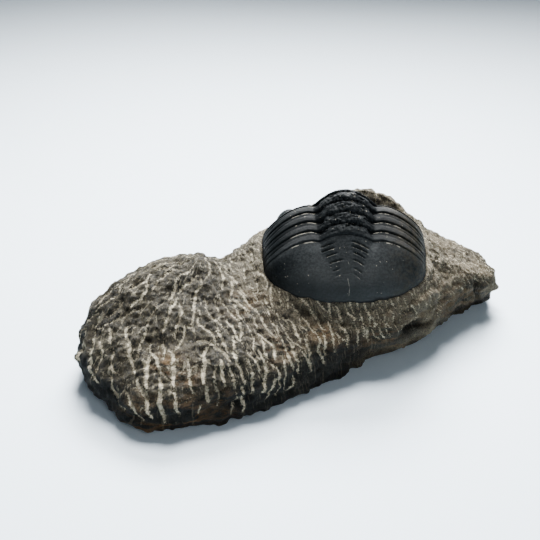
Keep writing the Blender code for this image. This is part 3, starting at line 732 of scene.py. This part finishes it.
def finish_rock(grid, marks, material):
    """Closes the slab: the bed under the plates, the outer surface and the flat underside."""
    count = BEARINGS
    bed_low = grid[:, 0].copy()
    bed_low[:, 2] = rim_height(bed_low[:, 1]) - BED_DEPTH
    outer = grid.reshape(-1, 3)
    bed_start = len(outer)
    bed_centre = bed_start + count
    base_centre = bed_centre + 1
    centre = np.array([[ROCK_CENTRE[0], ROCK_CENTRE[1], rim_height(ROCK_CENTRE[1]) - 2.6]])
    floor_centre = np.array([[ROCK_CENTRE[0], ROCK_CENTRE[1], -FLOOR_DEPTH]])
    verts = np.vstack([outer, bed_low, centre, floor_centre])

    plan = grid[:, :, :2] - ROCK_CENTRE
    start = np.linalg.norm(plan[:, 0], axis=1)
    run = arc_lengths(grid, 1) * 0.93 + start[:, None]
    direction = plan[:, 0] / start[:, None]
    unrolled = direction[:, None, :] * run[:, :, None]
    low = unrolled.reshape(-1, 2).min(axis=0)
    size = np.ptp(unrolled.reshape(-1, 2), axis=0).max()
    top_uv = (unrolled - low) / size * 0.98 + 0.01
    bed_uv = ((direction * (start * 0.9)[:, None]) - low) / size * 0.98 + 0.01
    centre_uv = (np.zeros(2) - low) / size * 0.98 + 0.01
    base_uv = (grid[:, -1, :2] - ROCK_CENTRE) / size * 0.14 + [0.90, 0.93]

    faces = []
    uvs = []
    for i in range(count):
        j = (i + 1) % count
        for r in range(ROCK_ROWS - 1):
            here, beside = i * ROCK_ROWS + r, j * ROCK_ROWS + r
            faces.append((here, beside, beside + 1, here + 1))
            uvs.extend((top_uv[i, r], top_uv[j, r], top_uv[j, r + 1], top_uv[i, r + 1]))
        faces.append((bed_start + i, bed_start + j, j * ROCK_ROWS, i * ROCK_ROWS))
        uvs.extend((bed_uv[i], bed_uv[j], top_uv[j, 0], top_uv[i, 0]))
        faces.append((bed_centre, bed_start + j, bed_start + i))
        uvs.extend((centre_uv, bed_uv[j], bed_uv[i]))
        last = ROCK_ROWS - 1
        faces.append((base_centre, i * ROCK_ROWS + last, j * ROCK_ROWS + last))
        uvs.extend(([0.90, 0.93], base_uv[i], base_uv[j]))

    fan = outer - FAN_CENTRE
    fan_run = np.linalg.norm(fan * [1.0, 1.0, 0.7], axis=1)
    lean = np.array(MAIN_LEAN.normalized())
    stain = np.zeros(len(outer))
    for cx, cy, cz, radius, strength in STAINS:
        distance = np.linalg.norm(outer - [cx, cy, cz], axis=1)
        stain = np.maximum(stain, strength * np.exp(-((distance / radius) ** 2)))
    rest = np.zeros(count + 2)
    attributes = {
        **{key: np.concatenate([values, rest]) for key, values in marks.items()},
        "stain": np.concatenate([stain, rest]),
        "right": np.concatenate([smooth(5.0, 30.0, outer[:, 0]), rest]),
        "fan_across": np.concatenate([np.arctan2(fan[:, 0], fan[:, 1]) * 18.0, rest]),
        "fan_along": np.concatenate([fan_run, rest]),
        "lean_across": np.concatenate([outer[:, 0] * 0.914 + outer[:, 1] * 0.406, rest]),
        "lean_along": np.concatenate([outer @ lean, rest]),
        "lean_share": np.concatenate([lean_share(outer[:, 0]), rest]),
    }
    piece = mesh_from("matrix_fine", verts, faces, uvs, attributes)
    piece.data.materials.append(material)
    piece.data.shade_smooth()
    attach(piece, "root")
    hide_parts("matrix_rock")


# ------------------------------------------------------------------ materials


class Nodes:
    """Short ways to add and join shader nodes."""

    def __init__(self, name):
        self.material = bpy.data.materials.new(name)
        self.material.use_nodes = True
        self.tree = self.material.node_tree
        self.shader = self.tree.nodes["Principled BSDF"]
        self.place = self.tree.nodes.new("ShaderNodeTexCoord").outputs["Object"]

    def link(self, source, target):
        self.tree.links.new(source, target)

    def put(self, value, socket):
        if hasattr(value, "is_output"):
            self.link(value, socket)
        else:
            socket.default_value = value

    def attribute(self, name):
        node = self.tree.nodes.new("ShaderNodeAttribute")
        node.attribute_name = name
        return node.outputs["Fac"]

    def noise(self, size_mm, detail=3.0, roughness=0.55, stretch=(1.0, 1.0, 1.0), distortion=0.0):
        mapping = self.tree.nodes.new("ShaderNodeMapping")
        mapping.inputs["Scale"].default_value = stretch
        self.link(self.place, mapping.inputs["Vector"])
        node = self.tree.nodes.new("ShaderNodeTexNoise")
        self.link(mapping.outputs["Vector"], node.inputs["Vector"])
        node.inputs["Scale"].default_value = 1.0 / (size_mm * MM)
        node.inputs["Detail"].default_value = detail
        node.inputs["Roughness"].default_value = roughness
        node.inputs["Distortion"].default_value = distortion
        return node.outputs["Fac"]

    def math(self, operation, a, b=0.0, clamp=False):
        node = self.tree.nodes.new("ShaderNodeMath")
        node.operation = operation
        node.use_clamp = clamp
        self.put(a, node.inputs[0])
        self.put(b, node.inputs[1])
        return node.outputs[0]

    def ramp(self, value, low, high, start=0.0, end=1.0):
        node = self.tree.nodes.new("ShaderNodeMapRange")
        node.interpolation_type = "SMOOTHSTEP"
        self.put(value, node.inputs["Value"])
        node.inputs["From Min"].default_value = low
        node.inputs["From Max"].default_value = high
        node.inputs["To Min"].default_value = start
        node.inputs["To Max"].default_value = end
        return node.outputs["Result"]

    def sway(self, value, texture, amount):
        """The value, moved up and down by a noise texture."""
        change = self.math("MULTIPLY", self.math("SUBTRACT", texture, 0.5), amount)
        return self.math("ADD", value, change)

    def mix(self, share, a, b):
        node = self.tree.nodes.new("ShaderNodeMix")
        node.data_type = "RGBA"
        self.put(share, node.inputs["Factor"])
        self.put(a, node.inputs[6])
        self.put(b, node.inputs[7])
        return node.outputs[2]

    def bump(self, height, depth_mm, normal=None):
        node = self.tree.nodes.new("ShaderNodeBump")
        node.inputs["Distance"].default_value = depth_mm * MM
        self.link(height, node.inputs["Height"])
        if normal is not None:
            self.link(normal, node.inputs["Normal"])
        return node.outputs["Normal"]


def rgb(r, g, b):
    return (r, g, b, 1.0)


def hatch(n, across, along, width_mm, length_mm):
    """Noise drawn out along the strokes."""
    combine = n.tree.nodes.new("ShaderNodeCombineXYZ")
    n.link(n.math("MULTIPLY", n.attribute(across), 1.0 / width_mm), combine.inputs["X"])
    n.link(n.math("MULTIPLY", n.attribute(along), 1.0 / length_mm), combine.inputs["Y"])
    node = n.tree.nodes.new("ShaderNodeTexNoise")
    node.inputs["Scale"].default_value = 1.0
    node.inputs["Detail"].default_value = 4.0
    node.inputs["Roughness"].default_value = 0.65
    node.inputs["Distortion"].default_value = 0.5
    n.link(combine.outputs["Vector"], node.inputs["Vector"])
    return node.outputs["Fac"]


def blend(n, share, a, b):
    """a where share is 0, b where it is 1."""
    return n.math("ADD", a, n.math("MULTIPLY", share, n.math("SUBTRACT", b, a)))


def rock_material():
    n = Nodes("limestone")
    broad = n.noise(11.0, 3.0)
    grain = n.noise(1.3, 6.0, 0.75)
    fine = n.noise(0.45, 4.0, 0.75)
    wall = n.attribute("wall")
    colour = n.mix(n.ramp(broad, 0.35, 0.65), rgb(0.033, 0.028, 0.017), rgb(0.064, 0.054, 0.033))
    colour = n.mix(n.ramp(grain, 0.38, 0.54), rgb(0.009, 0.009, 0.007), colour)
    colour = n.mix(n.ramp(fine, 0.36, 0.51, 0.85, 0.0), colour, rgb(0.008, 0.008, 0.007))
    colour = n.mix(n.ramp(fine, 0.54, 0.66, 0.0, 0.75), colour, rgb(0.19, 0.172, 0.120))
    # Painted shade: steep and overhanging walls are darkened towards near-black, in patches and fully
    # where they face down, standing in for the shadow the top light leaves on them.
    patches = n.ramp(n.noise(5.0, 4.0, 0.65), 0.46, 0.56)
    painted_wall_shade = n.math("MULTIPLY", patches, n.ramp(wall, 0.1, 0.7, 0.2, 0.94))
    painted_wall_shade = n.math("MAXIMUM", painted_wall_shade, n.ramp(wall, 0.2, 0.75, 0.0, 0.82))
    colour = n.mix(painted_wall_shade, colour, rgb(0.008, 0.009, 0.009))
    layers = n.noise(5.0, 5.0, 0.7, stretch=(0.25, 0.25, 1.6), distortion=0.4)
    brown = n.math("MULTIPLY", n.attribute("stain"), n.ramp(layers, 0.46, 0.54))
    brown = n.math("MULTIPLY", brown, n.ramp(fine, 0.36, 0.52, 0.25, 1.0))
    colour = n.mix(brown, colour, rgb(0.215, 0.118, 0.042))
    warm = n.math("MULTIPLY", n.ramp(n.noise(9.0, 4.0, 0.6), 0.42, 0.60, 0.1, 0.8), n.attribute("right"))
    warm = n.math("MULTIPLY", warm, n.ramp(fine, 0.36, 0.52, 0.3, 1.0))
    colour = n.mix(warm, colour, rgb(0.140, 0.114, 0.072))
    crushed = n.math("MULTIPLY", n.attribute("beside"), n.ramp(fine, 0.42, 0.54, 0.05, 0.65))
    colour = n.mix(crushed, colour, rgb(0.165, 0.142, 0.096))
    # Painted shade: the insides of the hollows are darkened to near-black, as if in shadow.
    colour = n.mix(n.math("MULTIPLY", n.attribute("hollow_shade"), 0.85), colour, rgb(0.006, 0.006, 0.005))

    fanned = hatch(n, "fan_across", "fan_along", 0.65, 3.8)
    leaning = hatch(n, "lean_across", "lean_along", 0.5, 3.8)
    streaks = blend(n, n.attribute("lean_share"), fanned, leaning)
    streaks = n.sway(streaks, fine, 0.3)
    open_ground = n.ramp(wall, 0.2, 0.8, 1.0, 0.25)
    streak = n.math("MULTIPLY", n.ramp(streaks, 0.585, 0.615), open_ground)
    ragged = n.sway(n.attribute("stroke"), grain, 1.2)
    ragged = n.sway(ragged, fine, 2.2)
    stroke = n.ramp(ragged, -0.03, 0.05)
    stroke_dust = n.ramp(ragged, -0.5, 0.0, 0.0, 0.28)
    powder = n.ramp(n.noise(0.6, 4.0, 0.75), 0.42, 0.60)
    chalk = n.mix(powder, rgb(0.32, 0.28, 0.19), rgb(0.86, 0.78, 0.58))
    colour = n.mix(n.math("MULTIPLY", streak, 0.75), colour, rgb(0.34, 0.305, 0.215))
    colour = n.mix(stroke_dust, colour, rgb(0.17, 0.152, 0.105))
    strength = n.ramp(n.noise(8.0, 2.0), 0.3, 0.65, 0.7, 1.0)
    colour = n.mix(n.math("MULTIPLY", stroke, strength), colour, chalk)
    n.link(colour, n.shader.inputs["Base Color"])
    n.link(n.ramp(grain, 0.3, 0.7, 0.78, 0.95), n.shader.inputs["Roughness"])
    n.shader.inputs["Specular IOR Level"].default_value = 0.2
    normal = n.bump(grain, 1.4)
    normal = n.bump(fine, 0.9, normal)
    normal = n.bump(n.math("MAXIMUM", stroke, streak), 0.14, normal)
    n.link(normal, n.shader.inputs["Normal"])
    return n.material


def plate_material():
    n = Nodes("dark_calcite")
    broad = n.noise(9.0, 3.0)
    grain = n.noise(0.7, 5.0, 0.65)
    smear = n.noise(2.4, 4.0, 0.6, stretch=(0.5, 1.0, 1.0))
    colour = n.mix(n.ramp(broad, 0.35, 0.65), rgb(0.0135, 0.0160, 0.0172), rgb(0.0215, 0.0245, 0.0258))
    colour = n.mix(n.ramp(smear, 0.5, 0.72, 0.0, 0.45), colour, rgb(0.036, 0.039, 0.040))
    colour = n.mix(n.ramp(grain, 0.40, 0.60, 0.6, 0.0), colour, rgb(0.0045, 0.0055, 0.0060))
    along = n.attribute("along")
    # Painted light and shade: the shield is lighter towards the steep tail tip, which faces away from
    # the lamps, and darker from the thorax forward, whose upturned bands catch the top light.
    colour = n.mix(n.ramp(along, 1.0, 11.0, 0.5, 0.0), colour, rgb(0.042, 0.045, 0.045))
    colour = n.mix(n.ramp(along, 14.0, 17.0, 0.0, 0.78), colour, rgb(0.003, 0.004, 0.0045))
    dust = n.ramp(n.noise(1.6, 5.0, 0.7), 0.40, 0.66, 0.1, 0.7)
    dusty = n.math("MULTIPLY", n.ramp(n.attribute("axis_side"), 0.38, 0.85), dust)
    colour = n.mix(dusty, colour, rgb(0.032, 0.028, 0.020))
    broken = n.attribute("broken")
    fresh = n.math("MULTIPLY", broken, n.ramp(grain, 0.40, 0.6))
    colour = n.mix(fresh, colour, rgb(0.017, 0.019, 0.020))
    specks = n.noise(0.9, 2.0, 0.5)
    speck_level = n.math("ADD", specks, n.math("MULTIPLY", broken, 0.07))
    speck_level = n.math("ADD", speck_level, n.ramp(n.noise(4.0, 3.0), 0.3, 0.7, -0.07, 0.03))
    colour = n.mix(n.ramp(speck_level, 0.72, 0.76, 0.0, 0.7), colour, rgb(0.22, 0.205, 0.165))
    grit = n.math("MULTIPLY", n.attribute("grit"), n.ramp(n.noise(2.2, 4.0, 0.7), 0.36, 0.58))
    grit = n.ramp(n.sway(grit, grain, 0.5), 0.30, 0.75, 0.0, 0.8)
    colour = n.mix(grit, colour, rgb(0.26, 0.25, 0.21))
    n.link(colour, n.shader.inputs["Base Color"])
    rough = n.ramp(smear, 0.3, 0.75, 0.52, 0.70)
    rough = n.math("ADD", rough, n.math("MULTIPLY", grit, 0.4), clamp=True)
    n.link(rough, n.shader.inputs["Roughness"])
    n.shader.inputs["Specular IOR Level"].default_value = 0.025
    terraces = n.noise(0.42, 2.0, 0.5, stretch=(0.12, 1.0, 1.0), distortion=0.3)
    near_tip = n.ramp(along, 2.0, 6.5, 1.0, 0.12)
    normal = n.bump(n.math("MULTIPLY", terraces, near_tip), 0.22)
    normal = n.bump(grain, 0.10, normal)
    normal = n.bump(n.noise(0.25, 2.0, 0.6), 0.04, normal)
    n.link(normal, n.shader.inputs["Normal"])
    return n.material


def floor_material():
    n = Nodes("studio_floor")
    n.shader.inputs["Base Color"].default_value = rgb(0.67, 0.77, 0.85)
    n.shader.inputs["Roughness"].default_value = 0.75
    n.shader.inputs["Specular IOR Level"].default_value = 0.2
    return n.material


# ------------------------------------------------------------------ pieces

calcite = plate_material()
TAIL_ROWS = 140
HEAD_ROWS = 130
tip_stations = [0.05, 0.14, 0.28, 0.46]
tail_stations = np.linspace(0.7, THORAX_START - SEAM / 2, TAIL_ROWS)
tail_stations = np.concatenate([tip_stations, tail_stations])
build_plate("pygidium_fine", "pygidium", tail_stations, [None] * len(tail_stations), calcite)
SEGMENT_ROWS = np.array([0.0, 0.012, 0.03, 0.055, 0.085, *np.linspace(0.12, 0.97, 25), 1.0])
for place in range(SEGMENT_COUNT):
    rear = THORAX_START + place * SEGMENT_LENGTH + SEAM / 2
    stations = rear + SEGMENT_ROWS * (SEGMENT_LENGTH - SEAM)
    number = SEGMENT_COUNT - place
    build_plate(f"segment_{number}_fine", f"thoracic_segment_{number}", stations, SEGMENT_ROWS, calcite)
front_stations = BODY_LENGTH - np.array([0.5, 0.3, 0.15, 0.05])
head_stations = np.linspace(THORAX_END + SEAM / 2, BODY_LENGTH - 0.8, HEAD_ROWS)
head_stations = np.concatenate([head_stations, front_stations])
build_plate("cephalon_fine", "cephalon", head_stations, [None] * len(head_stations), calcite)
build_rock(rock_material())

# ------------------------------------------------------------------ studio

TILT = math.radians(31.0)
VIEW_HALF_ANGLE = math.radians(14.5)
CAMERA_DISTANCE = 322.0
VIEW_RIGHT = -24.07  # how far the view's centre lies from the tail tip, to the right and upwards
VIEW_UP = 10.19
SENSOR_WIDTH = 36.0
forward = Vector((0.0, math.cos(TILT), -math.sin(TILT)))
upward = Vector((0.0, math.sin(TILT), math.cos(TILT)))
camera_data = bpy.data.cameras.new("camera")
camera_data.sensor_width = SENSOR_WIDTH
camera_data.lens = SENSOR_WIDTH / 2 / math.tan(VIEW_HALF_ANGLE)
camera_data.clip_start = 0.01
camera = bpy.data.objects.new("camera", camera_data)
offset = -forward * CAMERA_DISTANCE + Vector((1.0, 0.0, 0.0)) * VIEW_RIGHT + upward * VIEW_UP
camera.location = FOSSIL_ORIGIN + offset * MM
camera.rotation_euler = (math.pi / 2 - TILT, 0.0, 0.0)
bpy.context.scene.collection.objects.link(camera)
bpy.context.scene.camera = camera

STUDIO_FLOOR_SIZE = 6.0
STUDIO_FLOOR_CENTRE = (0.0, 1.0, 0.0)
bpy.ops.mesh.primitive_plane_add(size=STUDIO_FLOOR_SIZE, location=STUDIO_FLOOR_CENTRE)
floor = bpy.context.object
floor.name = "studio_floor"
floor.data.materials.append(floor_material())

LIGHT_AIM = Vector((-0.02, -0.10, 0.0))
WHITE = (1.0, 1.0, 1.0)
PALE_BLUE = (0.94, 0.97, 1.0)
AIR_COLOUR = (0.80, 0.90, 1.0, 1.0)
AIR_STRENGTH = 0.14


def softbox(name, location, size, power, spread, colour):
    """A soft light; places and sizes in metres, power in watts, spread in degrees."""
    data = bpy.data.lights.new(name, "AREA")
    data.shape = "RECTANGLE"
    data.size, data.size_y = size
    data.energy = power
    data.spread = math.radians(spread)
    data.color = colour
    made = bpy.data.objects.new(name, data)
    made.location = location
    made.rotation_euler = (LIGHT_AIM - Vector(location)).to_track_quat("-Z", "Y").to_euler()
    bpy.context.scene.collection.objects.link(made)


softbox("top_box", (0.01, 0.22, 0.42), (0.22, 0.18), 2.7, 101.0, WHITE)
softbox("back_box", (0.06, 0.58, 0.42), (0.45, 0.2), 5.4, 60.0, WHITE)
softbox("front_box", (0.12, -0.48, 0.36), (0.3, 0.3), 0.34, 120.0, PALE_BLUE)
world = bpy.data.worlds.new("studio_air")
world.use_nodes = True
air = world.node_tree.nodes["Background"]
air.inputs["Color"].default_value = AIR_COLOUR
air.inputs["Strength"].default_value = AIR_STRENGTH
bpy.context.scene.world = world
